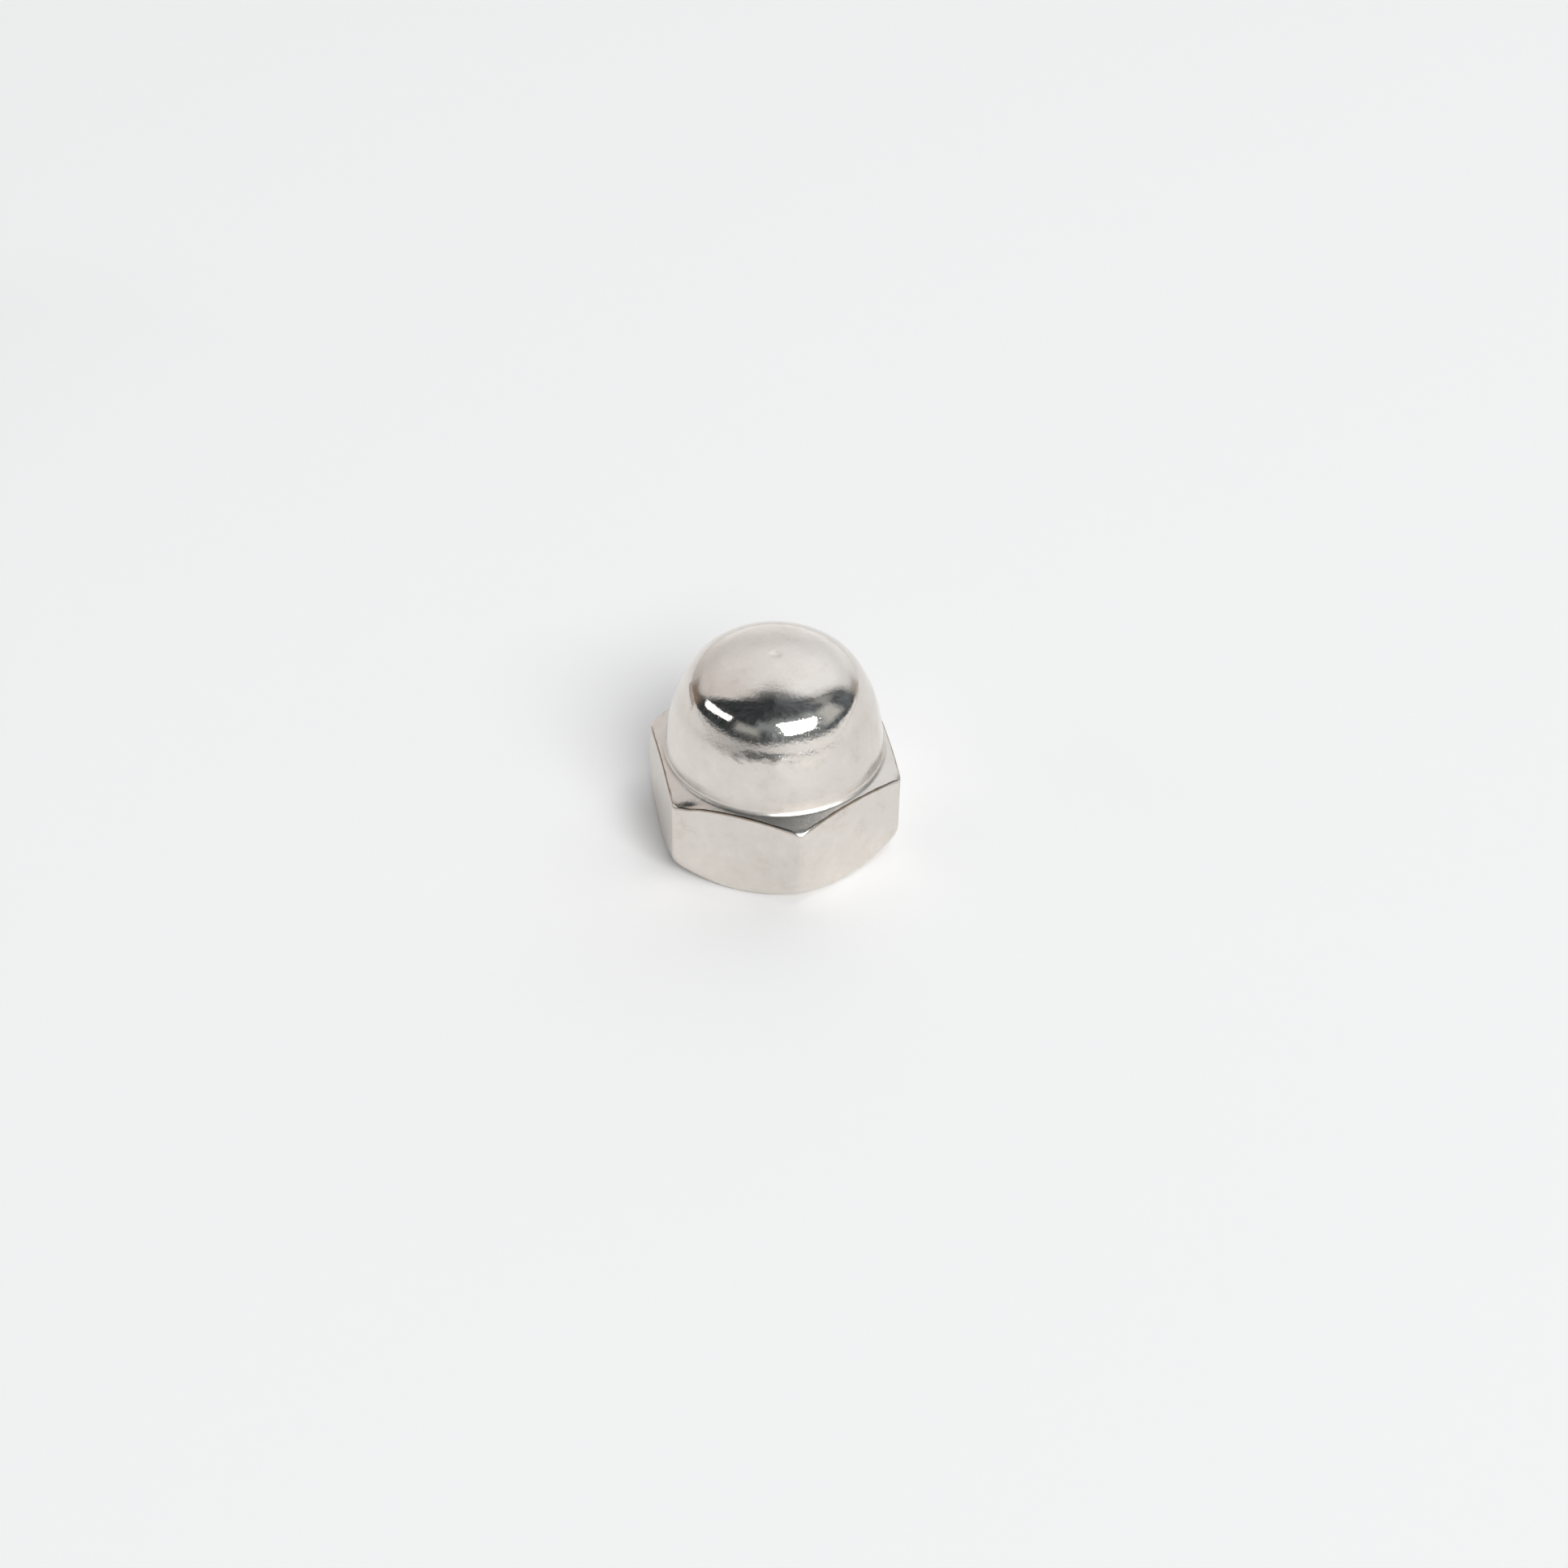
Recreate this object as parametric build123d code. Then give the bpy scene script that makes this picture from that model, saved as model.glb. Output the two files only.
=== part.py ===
from build123d import *
from math import cos, radians, sin, sqrt, tan
import os

# A domed cap nut in bright steel, one piece. Its turned outline, from the bearing face over the chamfers to the
# dome and down the blind bore, is revolved and then cut to a hexagon with softened corners.
# The origin is the middle of the bearing face and +Z points to the dome. Lengths are in millimetres, angles in
# degrees. A point of the outline is (distance from the axis, height).

# Hexagon
across_flats = 13.0
hex_height = 5.5  # bearing face to the shoulder, at the middle of a flat
hex_turn = 30.0  # puts two corners on the Y axis
seam_turn = 15.0  # from the middle of a flat to the seam that the revolved outline leaves
hex_corner_radius = 0.45
hex_edge_radius = 0.1
shoulder_angle = 20.0  # fall of the shoulder towards the corners
tip_radius = 0.7  # rounding of the shoulder's rim, which softens the tips of the corners
tip_clearance = 0.12  # corners to the upright end of that rounding
bearing_inset = 0.15  # flats to the rim of the bearing face
bearing_chamfer_angle = 40.0

# Dome, an arch of three arcs that run smoothly into each other
nut_height = 12.0
dome_inset = 0.35  # flats to the foot of the dome
foot_radius = 0.4  # hollow where the dome stands on the shoulder
skirt_lean = 28.0  # the skirt stands upright at its foot and leans in by this much at the knuckle
knuckle_radius = 3.1
crown_radius = 14.0
mark_diameter = 0.7  # shallow dimple at the top
mark_depth = 0.04

# Blind bore for a metric coarse thread, at the thread's minor diameter
thread_diameter = 8.0
thread_pitch = 1.25
crown_wall = 1.8  # end of the bore to the top of the dome
drill_point_angle = 118.0
mouth_lead = 0.3  # how far the mouth is opened past the thread's major diameter
mouth_angle = 120.0

# Depth of a basic internal thread as a share of its pitch
thread_depth_share = 5 * sqrt(3) / 16
# How much of an upright face's normal may point along the axis
upright_share = 0.001
# How far the hexagon passes the ends of the nut
overrun = 1.0


def point_on(centre, radius, through):
    """The point of a circle that lies in the direction of another point."""
    return centre + (through - centre).normalized() * radius


def line_leaves_circle(start, direction, centre, radius):
    """The point where a line from a start inside a circle leaves it."""
    offset = start - centre
    middle = offset.dot(direction)
    return start + direction * (sqrt(middle**2 - offset.length**2 + radius**2) - middle)


# Shoulder, a shallow cone under the foot of the dome
flat_radius = across_flats / 2
shoulder_slope = tan(radians(shoulder_angle))
shoulder_way = Vector(-1, shoulder_slope).normalized()
shoulder_normal = Vector(shoulder_slope, 1).normalized()
shoulder_apex = Vector(0, hex_height + flat_radius * shoulder_slope)

# Rim of the shoulder, rounded until it stands upright just outside the corners
corner_reach = (flat_radius - hex_corner_radius) * 2 / sqrt(3) + hex_corner_radius
rim_radius = corner_reach + tip_clearance
tip_reach = rim_radius - tip_radius
tip_centre = Vector(tip_reach, shoulder_apex.Y - tip_reach * shoulder_slope - tip_radius / shoulder_normal.Y)
tip_start = tip_centre + Vector(tip_radius, 0)
tip_end = tip_centre + shoulder_normal * tip_radius

# Knuckle, which touches the skirt and the crown from inside. As the skirt's radius grows, its centre climbs a line
# that leans in by half as much as the skirt does at its end, and it stops where the knuckle meets the crown.
dome_radius = flat_radius - dome_inset
crown_centre = Vector(0, nut_height - crown_radius)
lean = radians(skirt_lean)
knuckle_base = Vector(dome_radius - knuckle_radius, hex_height)
knuckle_way = Vector(-sin(lean / 2), cos(lean / 2))
knuckle_centre = line_leaves_circle(knuckle_base, knuckle_way, crown_centre, crown_radius - knuckle_radius)
skirt_end = knuckle_centre + Vector(cos(lean), sin(lean)) * knuckle_radius
crown_start = point_on(crown_centre, crown_radius, knuckle_centre)

# Skirt, and its foot on the shoulder
skirt_radius = (skirt_end.Y - hex_height) / sin(lean)
skirt_centre = Vector(dome_radius - skirt_radius, hex_height)
foot_centre = line_leaves_circle(
    shoulder_apex + shoulder_normal * foot_radius, -shoulder_way, skirt_centre, skirt_radius + foot_radius
)
foot_start = foot_centre - shoulder_normal * foot_radius
skirt_start = point_on(skirt_centre, skirt_radius, foot_centre)

# Dimple at the top of the crown
mark_radius = mark_diameter / 2
mark_rim = Vector(mark_radius, crown_centre.Y + sqrt(crown_radius**2 - mark_radius**2))
mark_floor = Vector(0, mark_rim.Y - mark_depth)

# Bore, with its drill point and its widened mouth
bore_radius = thread_diameter / 2 - thread_depth_share * thread_pitch
bore_tip = Vector(0, nut_height - crown_wall)
bore_end = Vector(bore_radius, bore_tip.Y - bore_radius / tan(radians(drill_point_angle / 2)))
mouth_radius = thread_diameter / 2 + mouth_lead
mouth_depth = (mouth_radius - bore_radius) / tan(radians(mouth_angle / 2))

# Bearing face and the chamfer round it
bearing_radius = flat_radius - bearing_inset
bearing_rim = Vector(rim_radius, (rim_radius - bearing_radius) * tan(radians(bearing_chamfer_angle)))

with BuildPart() as cap_nut:
    with BuildSketch(Plane.XZ):
        with BuildLine():
            Polyline(
                mark_floor,
                bore_tip,
                bore_end,
                (bore_radius, mouth_depth),
                (mouth_radius, 0),
                (bearing_radius, 0),
                bearing_rim,
                tip_start,
            )
            TangentArc(tip_start, tip_end, tangent=(0, 1))
            Line(tip_end, foot_start)
            foot = TangentArc(foot_start, skirt_start, tangent=shoulder_way)
            skirt = TangentArc(skirt_start, skirt_end, tangent=foot % 1)
            knuckle = TangentArc(skirt_end, crown_start, tangent=skirt % 1)
            TangentArc(crown_start, mark_rim, tangent=knuckle % 1)
            TangentArc(mark_floor, mark_rim, tangent=(1, 0))
        make_face()
    revolve(axis=Axis.Z)

    with BuildSketch(Plane.XY.offset(-overrun)) as hexagon:
        RegularPolygon(flat_radius, side_count=6, major_radius=False, rotation=hex_turn - seam_turn)
        fillet(hexagon.vertices(), hex_corner_radius)
    extrude(amount=nut_height + 2 * overrun, mode=Mode.INTERSECT)

    # The upper and lower rims of the hexagon's walls, which are the upright faces outside the dome
    walls = [
        face
        for face in cap_nut.faces()
        if abs(face.normal_at().Z) < upright_share and Vector(face.center().X, face.center().Y).length > dome_radius
    ]
    flat_rims = [edge for wall in walls for edge in wall.edges().filter_by(Axis.Z, reverse=True)]
    fillet(flat_rims, hex_edge_radius)

os.makedirs("parts", exist_ok=True)
export_step(cap_nut.part.rotate(Axis.Z, seam_turn), "parts/cap_nut.step")
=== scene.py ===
from math import atan2, cos, degrees, pi, radians, sin, sqrt, tan

import bpy
from mathutils import Matrix, Vector, noise


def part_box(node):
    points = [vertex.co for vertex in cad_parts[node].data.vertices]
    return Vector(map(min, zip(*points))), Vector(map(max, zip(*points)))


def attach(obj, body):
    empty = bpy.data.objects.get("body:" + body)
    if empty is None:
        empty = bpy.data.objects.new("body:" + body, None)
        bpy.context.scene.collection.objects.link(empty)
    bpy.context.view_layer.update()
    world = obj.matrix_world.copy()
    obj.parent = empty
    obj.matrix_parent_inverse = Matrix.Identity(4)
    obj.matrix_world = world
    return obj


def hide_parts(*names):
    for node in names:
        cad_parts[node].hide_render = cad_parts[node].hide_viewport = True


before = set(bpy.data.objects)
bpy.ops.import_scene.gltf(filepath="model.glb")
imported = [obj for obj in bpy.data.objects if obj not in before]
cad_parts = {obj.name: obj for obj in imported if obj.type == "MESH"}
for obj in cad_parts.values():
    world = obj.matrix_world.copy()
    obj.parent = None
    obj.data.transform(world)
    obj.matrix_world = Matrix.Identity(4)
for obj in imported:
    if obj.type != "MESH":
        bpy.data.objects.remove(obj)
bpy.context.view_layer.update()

# A domed cap nut in bright steel on a pale floor. The nut is one closed mesh: its outline, from the top of
# the dome down the outside and up the tapped bore, is swept round the axis and cut to the hexagon at each
# angle. The nut's lengths are in millimetres and the scene's in metres, angles are in degrees.
# A point of the outline is (distance from the axis, height).
MM = 0.001
nut_low, nut_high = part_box("cap_nut")

# Hexagon
ACROSS_FLATS = (nut_high.x - nut_low.x) / MM
HEX_HEIGHT = 5.5
CORNER_RADIUS = 0.45
EDGE_RADIUS = 0.1
SHOULDER_ANGLE = 20.0
TIP_RADIUS = 0.7
TIP_CLEARANCE = 0.12
BEARING_INSET = 0.15
BEARING_ANGLE = 40.0
BEARING_SOFTNESS = 0.06
LOWER_EDGE_SHARE = 1.4  # radius between wall and lower chamfer, as a share of the chamfer's width

# Wear of the hexagon: its edges are rounded unevenly, and more so at the corners, where the rim's painted
# dark line fades
EDGE_UNEVEN = 0.5
EDGE_PATCH = 14.0
WEAR_RADIUS = 0.14
WEAR_SPREAD = 5.5
# How much the rim's painted dark line fades at the corners
CORNER_SHADE_LIFT = 0.8
# A dent in the rim of the shoulder, beside one corner, darkened with painted shade
DENT_TURN = -144.0
DENT_SPREAD = 3.6
DENT_INSET = 0.12
DENT_SIZE = 0.22
DENT_DEPTH = 0.1
# How much painted shade darkens the dent
DENT_PAINTED_SHADE = 0.55

# Dome
MARK_RADIUS = 0.35
MARK_DEPTH = 0.04
CROWN_RADIUS = 14.0
CROWN_SAG = CROWN_RADIUS - sqrt(CROWN_RADIUS**2 - MARK_RADIUS**2)
NUT_HEIGHT = nut_high.z / MM + CROWN_SAG
DOME_INSET = 0.35
FOOT_RADIUS = 0.4
FOOT_BLEND = 0.6  # how far the foot's duller finish reaches up the skirt
SKIRT_LEAN = 28.0
KNUCKLE_RADIUS = 3.1
# A faint ledge that the polishing left round the skirt, deepest at one side
LEDGE_HEIGHT = 9.07
LEDGE_WIDTH = 0.36
LEDGE_DEPTH = 0.056
LEDGE_LEAST = 0.012
LEDGE_TURN = -101.0
LEDGE_FOCUS = 10
LEDGE_PATCH = 7.0
LEDGE_UNEVEN = 0.5

# Bore with a metric coarse thread
THREAD_RADIUS = 4.0
THREAD_PITCH = 1.25
THREAD_DEPTH = THREAD_PITCH * 5 * sqrt(3) / 16
THREAD_END = 7.6
THREAD_RUNOUT = 2.2
ROOT_HALF_SHARE = 1 / 16
FLANK_SHARE = 5 / 16
CROWN_WALL = 1.8
DRILL_ANGLE = 118.0
MOUTH_LEAD = 0.3
MOUTH_ANGLE = 120.0
MOUTH_SOFTNESS = 0.05

# How finely the nut is divided
CORNER_STEPS = 10
FLAT_STEPS = 46
CROWN_STEPS = 22
KNUCKLE_STEPS = 42
SKIRT_STEPS = 52
SHOULDER_STEPS = 34
EDGE_STEPS = 8
WALL_STEPS = 10
CHAMFER_STEPS = 4
MARK_STEPS = 5
BORE_STEPS = 150
DRILL_STEPS = 6
SUPPORT_SHARE = 0.02
FLAT_SUPPORT_SHARE = 0.005
RUN_TOLERANCE = 0.000001

# Finish of each zone: its roughness, how strong the polished skin's waves and the fine grain are, and how
# brown
# it is: browner in the bore, a little at the ledge, and at the rim partly stain, partly painted dark
# reflection
FINISH = ("dullness", "peel", "grain", "stain")
DOME = (0.065, 1.6, 0.5, 0.0)
LEDGE = (0.15, 2.5, 1.2, 0.06)
FOOT = (0.4, 1.2, 0.6, 0.0)
SHOULDER = (0.3, 5.0, 2.5, 0.0)
# At the rim the brown is a painted dark reflection along the edge, partly a real stain
RIM = (0.14, 1.5, 0.8, 0.8)
EDGE = (0.14, 1.5, 0.8, 0.0)
FLAT = (0.3, 1.5, 1.5, 0.0)
BORE = (0.3, 0.5, 1.0, 0.12)
# Colours of the metal's faint clouds: warm, grey and pale
TONES = [
    (0.3, (0.69, 0.635, 0.58, 1)),
    (0.44, (0.745, 0.7, 0.65, 1)),
    (0.56, (0.76, 0.718, 0.67, 1)),
    (0.72, (0.81, 0.765, 0.715, 1)),
]
# Brown for the stain, also laid on as painted shade along the rim and in the dent
STAIN_AND_SHADE_COLOUR = (0.22, 0.155, 0.1, 1)
CLOUDS_SCALE = 900.0
WAVES_SCALE = 5200.0
SPECKS_SCALE = 11000.0
DULLNESS_SPREAD = 0.5
PEEL_HEIGHT = 0.0000026
GRAIN_HEIGHT = 0.000001
SPECKS_FROM = 0.6
SPECKS_FULL = 0.72
SPECKS_DULLNESS = 0.2

# Camera, found by fitting these sizes to the photograph's outline. Azimuth 0 looks along +Y.
CAMERA_AZIMUTH = -12.47
CAMERA_ELEVATION = 40.2
CAMERA_ROLL = 1.21
CAMERA_DISTANCE = 0.195
CAMERA_TARGET = (0.00126, 0.00294, 0.0)
CAMERA_LENS = 77.1
CAMERA_SENSOR = 36.0
CAMERA_NEAR = 0.01

# Studio. Azimuths here count from the camera's own, towards its right.
FLOOR_HALF = 6.0
FLOOR_DROP = 0.00001
FLOOR_COLOUR = (0.92, 0.92, 0.92, 1)
FLOOR_ROUGHNESS = 0.7
FLOOR_SHEEN = 0.1
BACKGROUND = (0.88, 0.875, 0.865, 1)
# Panels: the azimuth and elevation of each corner, the strength and the distance
KEY_PANEL = ([(4, 44), (61, 39), (50, 22), (15, 21)], 21.0, 4.0)
SLIM_PANEL = ([(-101, 23), (-58, 35.5), (-58, 26), (-94, 14)], 1.6, 4.0)
FILL_PANEL = ([(5, 56), (50, 56), (50, 29), (5, 29)], 7.4, 3.0)
OVER_PANEL = ([(45, 82), (110, 82), (110, 62), (45, 62)], 4.2, 0.7)
# A low brown card close to the nut
FLAG_AZIMUTHS = (-129, -106)
FLAG_DISTANCE = 0.085
FLAG_HEIGHT = 0.012
FLAG_GLOW = (0.47, 0.42, 0.4)
# The surround, and its dark part over the camera's side: how its light grows with the azimuth, and how it
# is mottled
SURROUND_RADIUS = 5.0
SURROUND_COLUMNS = 240
SURROUND_ROWS = 80
DARK = (0.059, 0.066, 0.072)
DARK_SHARES = [(-20, 0.8), (10, 1.3), (60, 2.0), (100, 2.2)]
MOTTLE = 0.8
MOTTLE_WIDTH = 4.0
MOTTLE_HEIGHT = 14.0
# The pale back wall: its light at its base, low down and high up, at some azimuths, and its tint
WALL_BASE = [
    (120, 0.5),
    (135, 0.77),
    (150, 0.95),
    (165, 1.02),
    (190, 0.99),
    (205, 0.75),
    (215, 0.64),
    (235, 0.52),
]
WALL_LOW = [(122, 0.82), (140, 0.87), (165, 0.85), (187, 0.77), (205, 0.67), (250, 0.68)]
WALL_HIGH = [(118, 0.75), (135, 1.02), (165, 1.04), (187, 0.9), (205, 0.78), (250, 0.72)]
HIGH_FROM = 34.0
HIGH_SOFTNESS = 18.0
HORIZON = 18.0
HORIZON_SOFTNESS = 18.0
RIGHT_TINT = (0.98, 1.0, 1.02)
LEFT_TINT = (1.03, 0.99, 0.98)
TINT_TURN = [(160, 0.0), (220, 1.0)]
# Its outline: the azimuths of its ends at some elevations, and the elevations of its top at some azimuths
BACK_RIGHT = [(0, 124), (10, 123), (18, 119), (40, 119), (52, 114), (60, 104)]
BACK_LEFT = [(0, 236), (8, 241), (14, 249), (25, 258), (38, 262), (55, 266)]
BACK_TOP = [
    (100, 62),
    (132, 72),
    (156, 69.5),
    (175, 63),
    (187, 62.5),
    (205, 69),
    (221, 73),
    (240, 72),
    (256, 66),
]
BACK_SOFTNESS = 14.0
TOP_SOFTNESS = 18.0
VEIL_TOP = 77.0
VEIL_SOFTNESS = 18.0
VEIL_SHARE = 0.22
# The pale strip over the floor at the camera's side: the elevation of its top, and its light
FRONT_TOP = [
    (-100, 0),
    (-75, 4.4),
    (-55, 7.8),
    (-25, 10),
    (0, 12.6),
    (25, 13),
    (40, 11),
    (60, 7.4),
    (75, 5),
]
FRONT_GLOW = [(-90, 0.75), (-60, 0.6), (-30, 0.5), (-10, 0.65), (15, 0.9), (40, 1.02), (100, 0.9)]
FRONT_SOFTNESS = 4.0
# A soft glow round the key panel: left, right, low and high, its light, and how far it reaches
HALO = (10, 54, 26, 44)
HALO_GLOW = (0.33, 0.365, 0.38)
HALO_WIDTH = 14.0
HALO_HEIGHT = 10.0
# Cards that show dimly in the dome: left, right, low, high, colour and how strong
CARD_SOFTNESS = 13.0
CARDS = [
    (-48, -18, 17, 33, (0.4, 0.41, 0.4), 1.0),
    (-24, 6, 30, 46, (0.28, 0.31, 0.33), 0.9),
    (66, 91, 17, 45, (0.57, 0.58, 0.57), 1.0),
    (88, 108, 43, 60, (0.38, 0.38, 0.37), 0.9),
    (-126, -104, -6, 13, (0.25, 0.2, 0.165), 1.0),
    (117, 131, 2, 13, (0.4, 0.36, 0.33), 0.9),
]


def mixed(ends, share):
    """Values between two sets of them, such as two colours."""
    return [first + (second - first) * share for first, second in zip(*ends)]


def on_arc(centre, start, end, share):
    """The point at a share of the way along an arc round a centre."""
    first = (start - centre).normalized()
    last = (end - centre).normalized()
    return centre + first.slerp(last, share) * (start - centre).length


def arc(centre, start, end, steps):
    """Points along an arc round a centre, both ends included."""
    return [on_arc(centre, start, end, step / steps) for step in range(steps + 1)]


def soft_corner(before, corner, after, radius, steps):
    """Points along the arc that rounds a corner of the outline."""
    back = (before - corner).normalized()
    ahead = (after - corner).normalized()
    half = back.angle(ahead) / 2
    centre = corner + (back + ahead).normalized() * (radius / sin(half))
    run = radius / tan(half)
    return arc(centre, corner + back * run, corner + ahead * run, steps)


def between(start, end, steps):
    """Points inside a straight stretch, with one close to each end to keep the shading flat."""
    shares = [SUPPORT_SHARE] + [step / steps for step in range(1, steps)] + [1 - SUPPORT_SHARE]
    return [start.lerp(end, share) for share in shares]


def line_leaves_circle(start, direction, centre, radius):
    """The point where a line from a start inside a circle leaves it."""
    offset = start - centre
    middle = offset.dot(direction)
    return start + direction * (sqrt(middle**2 - offset.length_squared + radius**2) - middle)


# Points of the outline that are the same at every angle
FLAT_RADIUS = ACROSS_FLATS / 2
SHOULDER_SLOPE = tan(radians(SHOULDER_ANGLE))
SHOULDER_WAY = Vector((-1, SHOULDER_SLOPE)).normalized()
SHOULDER_NORMAL = Vector((SHOULDER_SLOPE, 1)).normalized()
SHOULDER_APEX = Vector((0, HEX_HEIGHT + FLAT_RADIUS * SHOULDER_SLOPE))
DOME_RADIUS = FLAT_RADIUS - DOME_INSET
LEAN = radians(SKIRT_LEAN)
CROWN_CENTRE = Vector((0, NUT_HEIGHT - CROWN_RADIUS))
KNUCKLE_BASE = Vector((DOME_RADIUS - KNUCKLE_RADIUS, HEX_HEIGHT))
KNUCKLE_WAY = Vector((-sin(LEAN / 2), cos(LEAN / 2)))
KNUCKLE_CENTRE = line_leaves_circle(
    KNUCKLE_BASE, KNUCKLE_WAY, CROWN_CENTRE, CROWN_RADIUS - KNUCKLE_RADIUS
)
SKIRT_END = KNUCKLE_CENTRE + Vector((cos(LEAN), sin(LEAN))) * KNUCKLE_RADIUS
SKIRT_RADIUS = (SKIRT_END.y - HEX_HEIGHT) / sin(LEAN)
SKIRT_CENTRE = Vector((DOME_RADIUS - SKIRT_RADIUS, HEX_HEIGHT))
CROWN_START = CROWN_CENTRE + (KNUCKLE_CENTRE - CROWN_CENTRE).normalized() * CROWN_RADIUS
FOOT_CENTRE = line_leaves_circle(
    SHOULDER_APEX + SHOULDER_NORMAL * FOOT_RADIUS, -SHOULDER_WAY, SKIRT_CENTRE, SKIRT_RADIUS + FOOT_RADIUS
)
FOOT_START = FOOT_CENTRE - SHOULDER_NORMAL * FOOT_RADIUS
SKIRT_START = SKIRT_CENTRE + (FOOT_CENTRE - SKIRT_CENTRE).normalized() * SKIRT_RADIUS
CORNER_REACH = (FLAT_RADIUS - CORNER_RADIUS) * 2 / sqrt(3) + CORNER_RADIUS
TIP_REACH = CORNER_REACH + TIP_CLEARANCE - TIP_RADIUS
TIP_CENTRE = Vector(
    (TIP_REACH, SHOULDER_APEX.y - TIP_REACH * SHOULDER_SLOPE - TIP_RADIUS / SHOULDER_NORMAL.y)
)
TIP_START = TIP_CENTRE + SHOULDER_NORMAL * TIP_RADIUS
TIP_END = TIP_CENTRE + Vector((TIP_RADIUS, 0))
FOOT_RUN = FOOT_RADIUS * (SKIRT_START - FOOT_CENTRE).angle(FOOT_START - FOOT_CENTRE)
SLOPE_RUN = (TIP_START - FOOT_START).length
TIP_RUN = TIP_RADIUS * (TIP_START - TIP_CENTRE).angle(TIP_END - TIP_CENTRE)
MARK_RIM = Vector((MARK_RADIUS, NUT_HEIGHT - CROWN_SAG))
MARK_FLOOR = Vector((0, MARK_RIM.y - MARK_DEPTH))
MARK_CENTRE = Vector((0, MARK_FLOOR.y + (MARK_RADIUS**2 + MARK_DEPTH**2) / (2 * MARK_DEPTH)))
BEARING_RADIUS = FLAT_RADIUS - BEARING_INSET
BEARING_RIM = Vector((BEARING_RADIUS, 0))
BORE_RADIUS = THREAD_RADIUS - THREAD_DEPTH
BORE_TIP = Vector((0, NUT_HEIGHT - CROWN_WALL))
BORE_END = Vector((BORE_RADIUS, BORE_TIP.y - BORE_RADIUS / tan(radians(DRILL_ANGLE / 2))))
MOUTH_RADIUS = THREAD_RADIUS + MOUTH_LEAD
MOUTH_SLOPE = tan(radians(MOUTH_ANGLE / 2))
BEARING_MIDDLE = (BEARING_RADIUS + MOUTH_RADIUS) / 2


def dome_rows():
    """The dome's outline from the dimple at its top to the start of its foot, as (finish, point)."""
    mark = arc(MARK_CENTRE, MARK_FLOOR, MARK_RIM, MARK_STEPS)[1:]
    crown = arc(CROWN_CENTRE, MARK_RIM, CROWN_START, CROWN_STEPS)[1:]
    knuckle = arc(KNUCKLE_CENTRE, CROWN_START, SKIRT_END, KNUCKLE_STEPS)[1:]
    skirt = arc(SKIRT_CENTRE, SKIRT_END, SKIRT_START, SKIRT_STEPS)[1:]
    return [(dome_finish(point.y), point) for point in mark + crown + knuckle + skirt]


def dome_finish(height):
    """The dome's finish at a height, duller at the polishing ledge and near the foot."""
    off_foot = (height - SKIRT_START.y) / FOOT_BLEND
    upper = mixed((DOME, LEDGE), ledge_share(height))
    return mixed((upper, FOOT), 2 ** (-off_foot * off_foot))


def shoulder_place(run):
    """The point at a length along the foot, the sloping shoulder and the rounded rim."""
    past_foot = run - FOOT_RUN
    past_slope = past_foot - SLOPE_RUN
    if past_foot < 0:
        return on_arc(FOOT_CENTRE, SKIRT_START, FOOT_START, run / FOOT_RUN)
    if past_slope < 0:
        return FOOT_START.lerp(TIP_START, past_foot / SLOPE_RUN)
    return on_arc(TIP_CENTRE, TIP_START, TIP_END, past_slope / TIP_RUN)


def shoulder_run(reach):
    """The length along the shoulder at which it is this far from the axis."""
    low = 0
    high = FOOT_RUN + SLOPE_RUN + TIP_RUN
    while high - low > RUN_TOLERANCE:
        middle = (low + high) / 2
        low, high = (middle, high) if shoulder_place(middle).x < reach else (low, middle)
    return low


def shoulder_rows(stop):
    """The outline from the foot to a length along the shoulder, as (finish, point)."""
    runs = [stop * step / SHOULDER_STEPS for step in range(1, SHOULDER_STEPS)]
    return [(mixed((FOOT, SHOULDER), min(1, run / FOOT_RUN)), shoulder_place(run)) for run in runs]


def corner_nearness(angle):
    """How near an angle in radians is to a corner: 1 at the corner, 0 well away from it."""
    off = (degrees(angle) % 60 - 30) / WEAR_SPREAD
    return 2 ** (-off * off)


def edge_radius(angle):
    """How rounded the hexagon's edges are at an angle in radians: unevenly, and most at the corners."""
    patch = noise.noise(Vector((cos(angle), sin(angle), 0)) * EDGE_PATCH)
    return EDGE_RADIUS * (1 + EDGE_UNEVEN * patch) + WEAR_RADIUS * corner_nearness(angle)


def dent(angle, inset):
    """How deep the dent is at an angle and at a distance in from the hexagon's wall."""
    aside = ((degrees(angle) - DENT_TURN + 180) % 360 - 180) / DENT_SPREAD
    inside = (inset - DENT_INSET) / DENT_SIZE
    return DENT_DEPTH * 2 ** (-aside * aside - inside * inside)


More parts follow.
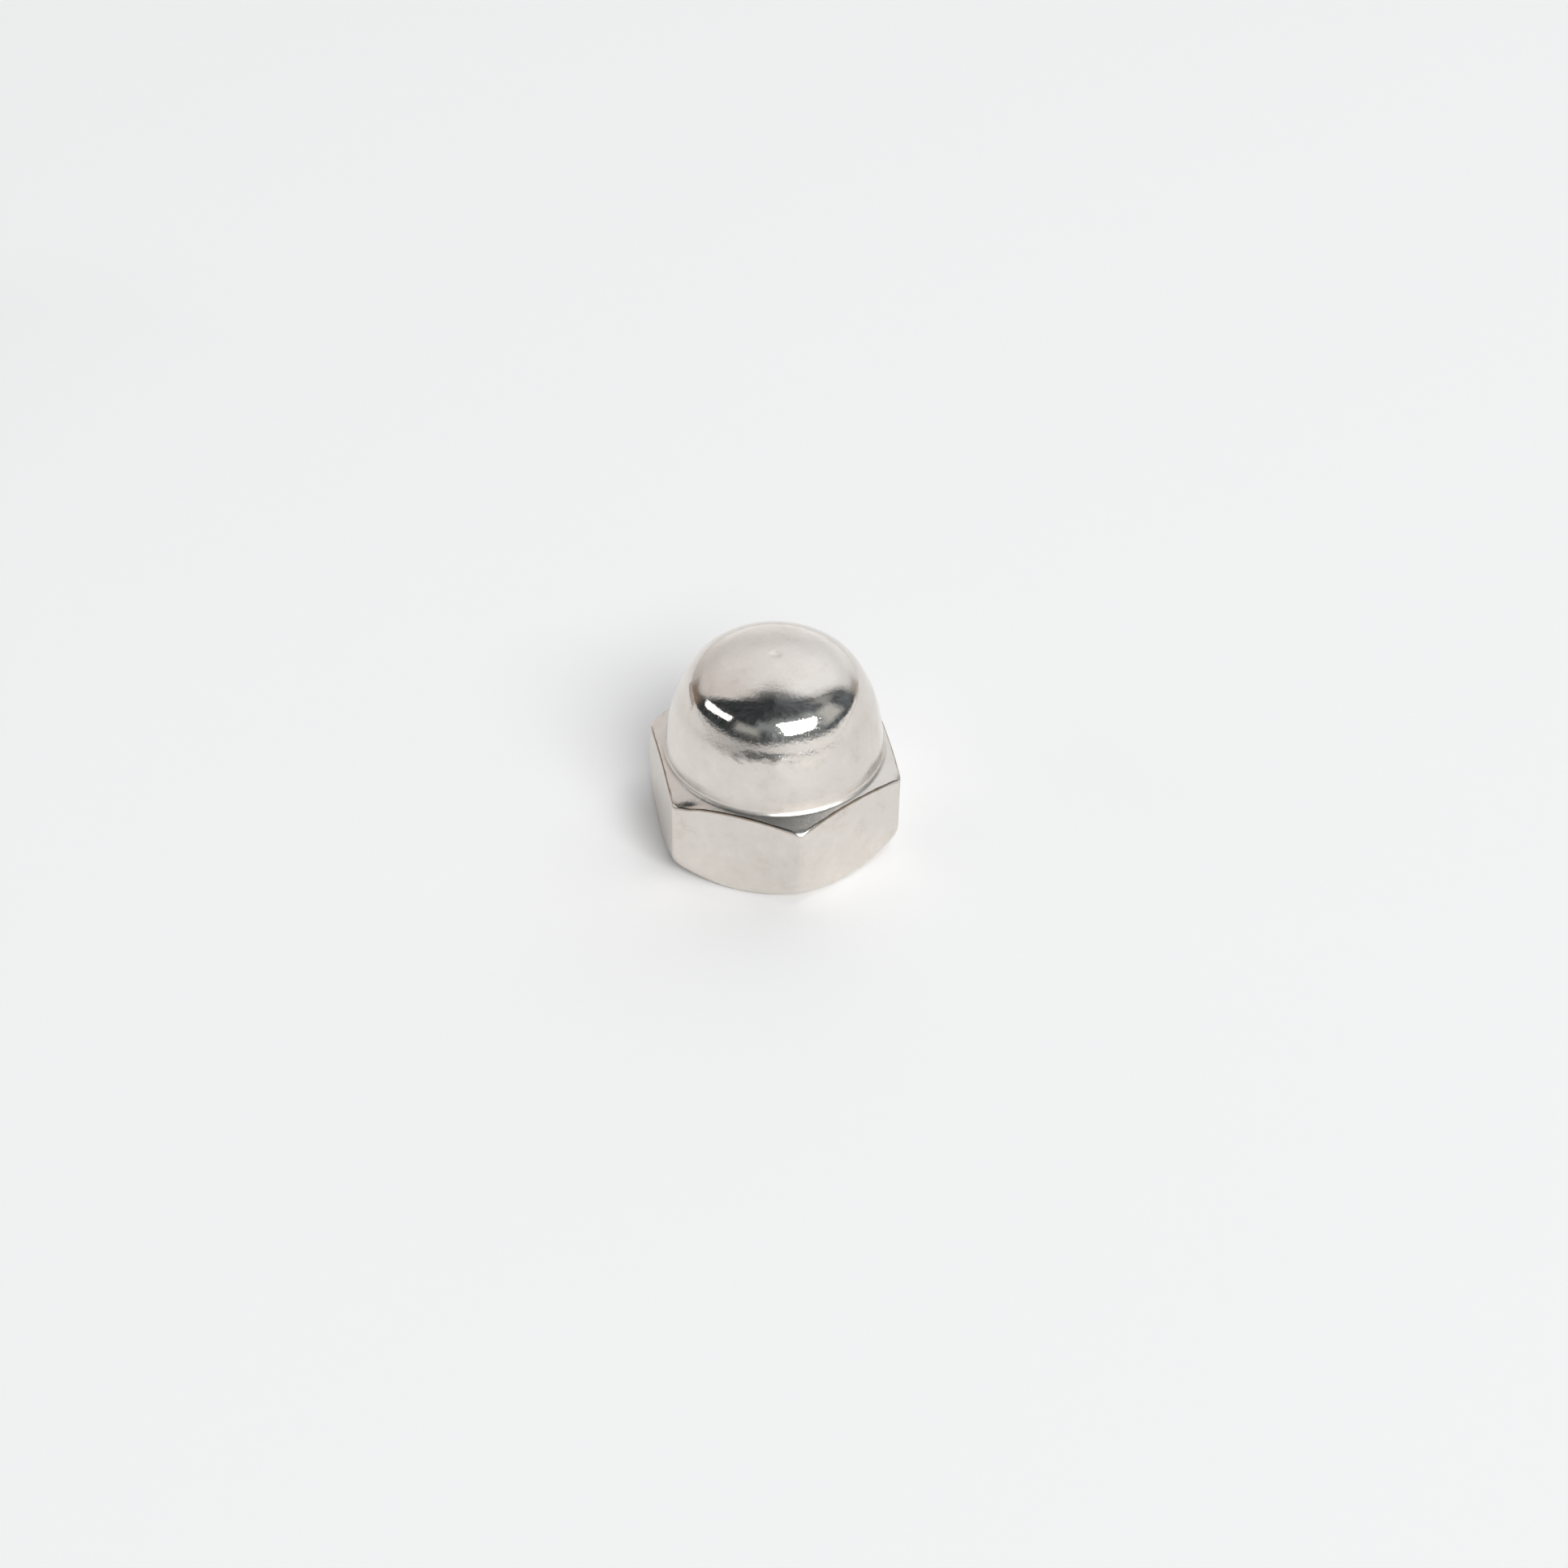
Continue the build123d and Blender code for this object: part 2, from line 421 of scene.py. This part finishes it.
def hexagon_rows(angle, wall):
    """The outline from the foot to the middle of the bearing face, with the wall this far out."""
    cut = shoulder_run(wall)
    high = shoulder_place(cut)
    low = Vector((wall, (wall - BEARING_RADIUS) * tan(radians(BEARING_ANGLE))))
    middle = Vector((BEARING_MIDDLE, 0))
    radius = edge_radius(angle)
    upper_edge = soft_corner(shoulder_place(cut - radius / 2), high, low, radius, EDGE_STEPS)
    lower_radius = LOWER_EDGE_SHARE * (wall - BEARING_RADIUS)
    lower_edge = soft_corner(high, low, BEARING_RIM, lower_radius, EDGE_STEPS)
    bearing_edge = soft_corner(low, BEARING_RIM, middle, BEARING_SOFTNESS, EDGE_STEPS // 2)
    top = shoulder_rows(cut - (upper_edge[0] - high).length)
    # The rim's painted dark line, faded near the corners
    top += [(mixed((RIM, EDGE), CORNER_SHADE_LIFT * corner_nearness(angle)), point) for point in upper_edge]
    rows = []
    # The dent is sunk into the shoulder and darkened there with painted shade
    for finish, point in top:
        depth = dent(angle, wall - point.x)
        stained = mixed((finish, RIM), DENT_PAINTED_SHADE * depth / DENT_DEPTH)
        rows.append((stained, point - Vector((0, depth))))
    rows += [(FLAT, point) for point in between(rows[-1][1], lower_edge[0], WALL_STEPS)]
    rows += [(EDGE, point) for point in lower_edge]
    rows += [(FLAT, point) for point in between(lower_edge[-1], bearing_edge[0], CHAMFER_STEPS)]
    rows += [(EDGE, point) for point in bearing_edge]
    return rows + [(FLAT, bearing_edge[-1].lerp(middle, SUPPORT_SHARE)), (FLAT, middle)]


def thread_reach(angle, height):
    """How far the tapped wall lies from the axis: a right-hand thread with 60 degree flanks."""
    turn = (height / THREAD_PITCH - angle / (2 * pi)) % 1
    off_root = abs(turn - 0.5)
    depth_share = min(1, max(0, (ROOT_HALF_SHARE + FLANK_SHARE - off_root) / FLANK_SHARE))
    runout_share = min(1, max(0, (THREAD_END - height) / THREAD_RUNOUT))
    return BORE_RADIUS + THREAD_DEPTH * min(depth_share, runout_share)


def bore_rows(angle):
    """The outline from the bearing face up the mouth, the thread and the drill point."""
    mouth = Vector((MOUTH_RADIUS, 0))
    throat = Vector((MOUTH_RADIUS - MOUTH_SLOPE, 1))
    mouth_edge = soft_corner(Vector((BEARING_MIDDLE, 0)), mouth, throat, MOUTH_SOFTNESS, EDGE_STEPS // 2)
    rows = [(FLAT, point) for point in between(Vector((BEARING_MIDDLE, 0)), mouth_edge[0], CHAMFER_STEPS)]
    rows += [(EDGE, point) for point in mouth_edge]
    start = mouth_edge[-1].y
    for step in range(1, BORE_STEPS + 1):
        height = start + (BORE_END.y - start) * step / BORE_STEPS
        reach = max(MOUTH_RADIUS - height * MOUTH_SLOPE, thread_reach(angle, height))
        rows.append((BORE, Vector((reach, height))))
    return rows + [(BORE, point) for point in between(BORE_END, BORE_TIP, DRILL_STEPS)]


def sweep_angles():
    """Angles round the axis, in radians, and the wall's distance at each: closest at the corners."""
    sixth = pi / 3
    corner_centre = (FLAT_RADIUS - CORNER_RADIUS) / cos(sixth / 2)
    turns = []
    for step in range(CORNER_STEPS + 1):
        normal = sixth * (step / CORNER_STEPS - 0.5)
        out = corner_centre + CORNER_RADIUS * cos(normal)
        aside = CORNER_RADIUS * sin(normal)
        turns.append((atan2(aside, out) - sixth / 2, sqrt(out**2 + aside**2)))
    half_flat = -turns[-1][0]
    shares = [step / FLAT_STEPS for step in range(1, FLAT_STEPS)]
    for share in [FLAT_SUPPORT_SHARE, *shares, 1 - FLAT_SUPPORT_SHARE]:
        turn = half_flat * (2 * share - 1)
        turns.append((turn, FLAT_RADIUS / cos(turn)))
    return [(side * sixth + turn, wall) for side in range(6) for turn, wall in turns]


def ring_faces(upper, lower, count):
    """Quads between two rings of as many points, given the index of each ring's first point."""
    nexts = [(i, (i + 1) % count) for i in range(count)]
    return [(upper + i, lower + i, lower + n, upper + n) for i, n in nexts]


def halving_faces(upper, lower, count):
    """Triangles between a ring and one with half as many points, which stand at every second angle."""
    faces = []
    for i in range(count // 2):
        near = upper + 2 * i
        middle = upper + 2 * i + 1
        far = upper + (2 * i + 2) % count
        here = lower + i
        there = lower + (i + 1) % (count // 2)
        faces += [(near, here, middle), (middle, here, there), (middle, there, far)]
    return faces


def ledge_share(height):
    """How near a height is to the polishing ledge: 1 at its middle, 0 well away from it."""
    off = (height - LEDGE_HEIGHT) / LEDGE_WIDTH
    return 2 ** (-off * off)


def ledge(angle, height):
    """How far the skirt stands out below the polishing ledge: unevenly, and not at all at its foot."""
    place = Vector((cos(angle), sin(angle), height / DOME_RADIUS)) * LEDGE_PATCH
    patch = 1 + LEDGE_UNEVEN * noise.fractal(place, 0.5, 2.0, 3)
    focus = (0.5 + 0.5 * cos(angle - radians(LEDGE_TURN))) ** LEDGE_FOCUS
    depth = LEDGE_LEAST + (LEDGE_DEPTH - LEDGE_LEAST) * focus
    below = min(1, max(0, (LEDGE_HEIGHT - height) / LEDGE_WIDTH / 2 + 0.5))
    run = (height - SKIRT_START.y) / (LEDGE_HEIGHT - SKIRT_START.y)
    return depth * patch * below * below * (3 - 2 * below) * min(1, run)


def outer_rows(angle, wall):
    """The outline from the top of the dome to the middle of the bearing face, with the skirt's ledge."""
    dome = [(finish, place + Vector((ledge(angle, place.y), 0))) for finish, place in dome_rows()]
    return dome + hexagon_rows(angle, wall)


def nut_rings():
    """The nut's points, ring by ring, with their finishes and each ring's (first point, count)."""
    angles = sweep_angles()
    outer = [(angle, outer_rows(angle, wall)) for angle, wall in angles]
    inner = [(angle, bore_rows(angle)) for angle, wall in angles[::2]]
    points = [(0, 0, MARK_FLOOR.y * MM)]
    finishes = [DOME]
    rings = []
    for group in (outer, inner):
        for row in range(len(group[0][1])):
            rings.append((len(points), len(group)))
            for angle, rows in group:
                finish, place = rows[row]
                points.append((place.x * cos(angle) * MM, place.x * sin(angle) * MM, place.y * MM))
                finishes.append(finish)
    points.append((0, 0, BORE_TIP.y * MM))
    finishes.append(BORE)
    return points, finishes, rings


def nut_faces(rings, tip):
    """The nut's faces, from the first point at the top of the dome to the last at the end of the bore."""
    first, count = rings[0]
    faces = [(0, first + i, first + (i + 1) % count) for i in range(count)]
    for (upper, count), (lower, lower_count) in zip(rings, rings[1:]):
        join = ring_faces if count == lower_count else halving_faces
        faces += join(upper, lower, count)
    last, count = rings[-1]
    return faces + [(last + i, tip, last + (i + 1) % count) for i in range(count)]


def nut_mesh():
    """The whole nut as one closed mesh, with the finish of each point."""
    points, finishes, rings = nut_rings()
    mesh = bpy.data.meshes.new("cap_nut_body")
    mesh.from_pydata(points, [], nut_faces(rings, len(points) - 1))
    mesh.shade_smooth()
    for place, name in enumerate(FINISH):
        layer = mesh.attributes.new(name, "FLOAT", "POINT")
        layer.data.foreach_set("value", [finish[place] for finish in finishes])
    mesh.validate()
    return mesh


def add_node(tree, kind, **inputs):
    """A shader node with some of its inputs set: a value, or another node's output socket to link."""
    node = tree.nodes.new(kind)
    for name, value in inputs.items():
        socket = node.inputs[name.replace("_", " ")]
        if isinstance(value, bpy.types.NodeSocket):
            tree.links.new(value, socket)
        else:
            socket.default_value = value
    return node


def emitter(name, colour, strength):
    """A plain glowing material for a panel."""
    material = bpy.data.materials.new(name)
    material.use_nodes = True
    tree = material.node_tree
    tree.nodes.clear()
    glow = add_node(tree, "ShaderNodeEmission", Color=(*colour, 1), Strength=strength)
    out = tree.nodes.new("ShaderNodeOutputMaterial")
    tree.links.new(glow.outputs[0], out.inputs["Surface"])
    return material


def toned(tree, texture):
    """The metal's colour: from warm to pale as a texture rises, and brown by the zone's stain and painted
    shade.
    """
    tone = tree.nodes.new("ShaderNodeValToRGB")
    ramp = tone.color_ramp.elements
    ramp[0].position, ramp[0].color = TONES[0]
    ramp[1].position, ramp[1].color = TONES[-1]
    for position, colour in TONES[1:-1]:
        ramp.new(position).color = colour
    tree.links.new(texture.outputs["Fac"], tone.inputs["Fac"])
    stain = tree.nodes.new("ShaderNodeAttribute")
    stain.attribute_name = "stain"
    stained = tree.nodes.new("ShaderNodeMixRGB")
    stained.inputs["Color2"].default_value = STAIN_AND_SHADE_COLOUR
    tree.links.new(stain.outputs["Fac"], stained.inputs["Fac"])
    tree.links.new(tone.outputs["Color"], stained.inputs["Color1"])
    return stained.outputs["Color"]


def add_noise(tree, place, scale, detail, roughness):
    """A noise texture at a place."""
    inputs = {"Vector": place, "Scale": scale, "Detail": detail, "Roughness": roughness}
    return add_node(tree, "ShaderNodeTexNoise", **inputs)


def steel_material():
    """Bright warm steel: a mirror on the dome, duller on the flats, wavy and finely grained."""
    material = bpy.data.materials.new("polished_steel")
    material.use_nodes = True
    tree = material.node_tree
    shader = tree.nodes["Principled BSDF"]
    shader.inputs["Metallic"].default_value = 1.0
    place = tree.nodes.new("ShaderNodeTexCoord").outputs["Object"]
    clouds = add_noise(tree, place, CLOUDS_SCALE, 7.0, 0.66)
    waves = add_noise(tree, place, WAVES_SCALE, 2.0, 0.5)
    specks = add_noise(tree, place, SPECKS_SCALE, 3.0, 0.6)
    tree.links.new(toned(tree, clouds), shader.inputs["Base Color"])
    dullness = uneven(tree, "dullness", clouds, DULLNESS_SPREAD)
    tree.links.new(speckled(tree, dullness, specks), shader.inputs["Roughness"])
    peel = bumped(tree, "peel", waves, PEEL_HEIGHT, None)
    grain = bumped(tree, "grain", specks, GRAIN_HEIGHT, peel)
    tree.links.new(grain, shader.inputs["Normal"])
    return material


def uneven(tree, name, texture, spread):
    """A zone's own value, varied by a texture by up to half the spread either way."""
    value = tree.nodes.new("ShaderNodeAttribute")
    value.attribute_name = name
    vary = tree.nodes.new("ShaderNodeMapRange")
    vary.inputs["To Min"].default_value = 1 - spread / 2
    vary.inputs["To Max"].default_value = 1 + spread / 2
    tree.links.new(texture.outputs["Fac"], vary.inputs["Value"])
    product = tree.nodes.new("ShaderNodeMath")
    product.operation = "MULTIPLY"
    tree.links.new(value.outputs["Fac"], product.inputs[0])
    tree.links.new(vary.outputs["Result"], product.inputs[1])
    return product.outputs["Value"]


def speckled(tree, value, texture):
    """A value raised at the few places where a texture is highest."""
    specks = tree.nodes.new("ShaderNodeMapRange")
    specks.inputs["From Min"].default_value = SPECKS_FROM
    specks.inputs["From Max"].default_value = SPECKS_FULL
    specks.inputs["To Max"].default_value = SPECKS_DULLNESS
    tree.links.new(texture.outputs["Fac"], specks.inputs["Value"])
    total = tree.nodes.new("ShaderNodeMath")
    total.operation = "ADD"
    tree.links.new(value, total.inputs[0])
    tree.links.new(specks.outputs["Result"], total.inputs[1])
    return total.outputs["Value"]


def bumped(tree, name, texture, height, normal):
    """A normal roughened by a texture, as strongly as the zone's own value says."""
    value = tree.nodes.new("ShaderNodeAttribute")
    value.attribute_name = name
    bump = add_node(tree, "ShaderNodeBump", Distance=height, Height=texture.outputs["Fac"])
    tree.links.new(value.outputs["Fac"], bump.inputs["Strength"])
    if normal:
        tree.links.new(normal, bump.inputs["Normal"])
    return bump.outputs["Normal"]


def floor_material():
    """Matt white board."""
    material = bpy.data.materials.new("white_board")
    material.use_nodes = True
    shader = material.node_tree.nodes["Principled BSDF"]
    shader.inputs["Base Color"].default_value = FLOOR_COLOUR
    shader.inputs["Roughness"].default_value = FLOOR_ROUGHNESS
    shader.inputs["Specular IOR Level"].default_value = FLOOR_SHEEN
    return material


def way(azimuth, elevation):
    """Unit vector for an azimuth, counted from the camera's towards its right, and an elevation."""
    turn = radians(azimuth + CAMERA_AZIMUTH)
    rise = radians(elevation)
    return Vector((sin(turn) * cos(rise), -cos(turn) * cos(rise), sin(rise)))


def add_stage(name, points, faces, material):
    """A piece of the studio round the nut."""
    mesh = bpy.data.meshes.new(name)
    mesh.from_pydata(points, [], faces)
    mesh.materials.append(material)
    piece = bpy.data.objects.new(name, mesh)
    bpy.context.collection.objects.link(piece)
    return piece


def add_panel(name, corners, strength, distance):
    """A flat glowing panel round the nut, with its corners given as (azimuth, elevation)."""
    points = [way(*corner) * distance for corner in corners]
    panel = add_stage(name, points, [tuple(range(len(points)))], emitter(name, (1, 1, 1), strength))
    panel.visible_camera = False
    return panel


def add_flag():
    """A low brown card beside the nut that only the metal sees."""
    feet = [way(azimuth, 0) * FLAG_DISTANCE for azimuth in FLAG_AZIMUTHS]
    rise = Vector((0, 0, FLAG_HEIGHT))
    points = feet + [foot + rise for foot in reversed(feet)]
    flag = add_stage("flag", points, [(0, 1, 2, 3)], emitter("flag", FLAG_GLOW, 1.0))
    flag.visible_camera = False
    flag.visible_diffuse = False
    return flag


def fade(inside, softness):
    """0 outside an edge, 1 inside it, with a smooth step of a given width between."""
    share = min(1, max(0, 0.5 + inside / softness))
    return share * share * (3 - 2 * share)


def along(points, place):
    """The value at a place on a line through (place, value) points, level beyond its ends."""
    if place <= points[0][0]:
        return points[0][1]
    for (start, first), (end, second) in zip(points, points[1:]):
        if place <= end:
            return first + (second - first) * (place - start) / (end - start)
    return points[-1][1]


def back_wall(azimuth, elevation):
    """The pale wall's own light: paler to its right and higher up, like the floor at its base."""
    turn = azimuth % 360
    raised = fade(elevation - HORIZON, HORIZON_SOFTNESS)
    level = along(WALL_BASE, turn) * (1 - raised) + along(WALL_LOW, turn) * raised
    raised = fade(elevation - HIGH_FROM, HIGH_SOFTNESS)
    level = level * (1 - raised) + along(WALL_HIGH, turn) * raised
    return [level * tint for tint in mixed((RIGHT_TINT, LEFT_TINT), along(TINT_TURN, turn))]


def halo(azimuth, elevation):
    """How much of the key panel's glow a direction has: all of it at the panel, less farther away."""
    left, right, low, high = HALO
    aside = max(0, left - azimuth, azimuth - right) / HALO_WIDTH
    above = max(0, low - elevation, elevation - high) / HALO_HEIGHT
    return 2 ** (-aside * aside - above * above)


def surround_glow(azimuth, elevation):
    """Light from a direction: pale at the back and just over the floor, dark above the camera's side."""
    turn = azimuth % 360
    top = along(BACK_TOP, turn)
    right = along(BACK_RIGHT, elevation)
    left = along(BACK_LEFT, elevation)
    sides = fade(min(turn - right, left - turn), BACK_SOFTNESS)
    veil = VEIL_SHARE * fade(VEIL_TOP - elevation, VEIL_SOFTNESS)
    back = sides * max(veil, fade(top - elevation, TOP_SOFTNESS))
    front = fade(along(FRONT_TOP, azimuth) - elevation, FRONT_SOFTNESS)
    cloud = 1 + MOTTLE * noise.noise(Vector((azimuth / MOTTLE_WIDTH, elevation / MOTTLE_HEIGHT, 0)))
    dark = [level * along(DARK_SHARES, azimuth) for level in DARK]
    dark = [level * cloud for level in mixed((dark, HALO_GLOW), halo(azimuth, elevation))]
    strip = [along(FRONT_GLOW, azimuth)] * 3
    pale = mixed((strip, back_wall(azimuth, elevation)), back)
    colour = mixed((dark, pale), max(back, front))
    for left, right, low, high, glow, share in CARDS:
        inside = min(azimuth - left, right - azimuth, elevation - low, high - elevation)
        colour = mixed((colour, glow), share * fade(inside, CARD_SOFTNESS))
    return colour


def add_surround():
    """A large glowing dome over the floor. It shows in the metal, not to the camera."""
    columns = SURROUND_COLUMNS
    rows = SURROUND_ROWS
    turns = [column * 360 / columns - 180 for column in range(columns)]
    angles = [(turn, row * 90 / rows) for row in range(rows) for turn in turns]
    points = [way(*angle) * SURROUND_RADIUS for angle in angles] + [Vector((0, 0, SURROUND_RADIUS))]
    glows = [surround_glow(*angle) for angle in angles] + [DARK]
    faces = []
    for row in range(rows - 1):
        faces += ring_faces(row * columns, (row + 1) * columns, columns)
    last = (rows - 1) * columns
    faces += [(last + i, last + columns, last + (i + 1) % columns) for i in range(columns)]
    material = emitter("surround", (1, 1, 1), 1.0)
    material.cycles.emission_sampling = "NONE"
    tree = material.node_tree
    glow = tree.nodes.new("ShaderNodeAttribute")
    glow.attribute_name = "glow"
    tree.links.new(glow.outputs["Color"], tree.nodes["Emission"].inputs["Color"])
    surround = add_stage("surround", points, faces, material)
    layer = surround.data.attributes.new("glow", "FLOAT_COLOR", "POINT")
    layer.data.foreach_set("color", [level for colour in glows for level in (*colour, 1)])
    surround.visible_camera = False
    return surround


def add_camera():
    """The camera at the photograph's place, turned a little about its own axis."""
    back = way(0, CAMERA_ELEVATION)
    right = Vector((0, 0, 1)).cross(back).normalized()
    turn = Matrix.Rotation(radians(CAMERA_ROLL), 3, back)
    right = turn @ right
    up = back.cross(right)
    place = Matrix((right, up, back)).transposed().to_4x4()
    place.translation = Vector(CAMERA_TARGET) + back * CAMERA_DISTANCE
    data = bpy.data.cameras.new("camera")
    data.lens = CAMERA_LENS
    data.sensor_width = CAMERA_SENSOR
    data.clip_start = CAMERA_NEAR
    camera = bpy.data.objects.new("camera", data)
    camera.matrix_world = place
    bpy.context.collection.objects.link(camera)
    bpy.context.scene.camera = camera
    return camera


def add_world():
    """A plain pale background for the camera."""
    world = bpy.data.worlds.new("studio")
    bpy.context.scene.world = world
    world.use_nodes = True
    background = world.node_tree.nodes["Background"]
    background.inputs["Color"].default_value = BACKGROUND
    background.inputs["Strength"].default_value = 1.0


nut = bpy.data.objects.new("cap_nut_body", nut_mesh())
bpy.context.collection.objects.link(nut)
nut.data.materials.append(steel_material())
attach(nut, "root")
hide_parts("cap_nut")

floor_corners = [(-1, -1), (1, -1), (1, 1), (-1, 1)]
floor_points = [(x * FLOOR_HALF, y * FLOOR_HALF, -FLOOR_DROP) for x, y in floor_corners]
add_stage("floor", floor_points, [(0, 1, 2, 3)], floor_material())
add_surround()
key_panel = add_panel("key_panel", *KEY_PANEL)
key_panel.visible_diffuse = False
add_panel("slim_panel", *SLIM_PANEL)
fill_panel = add_panel("fill_panel", *FILL_PANEL)
fill_panel.visible_glossy = False
over_panel = add_panel("over_panel", *OVER_PANEL)
over_panel.visible_glossy = False
add_flag()
add_camera()
add_world()
bpy.context.scene.view_settings.view_transform = "Standard"
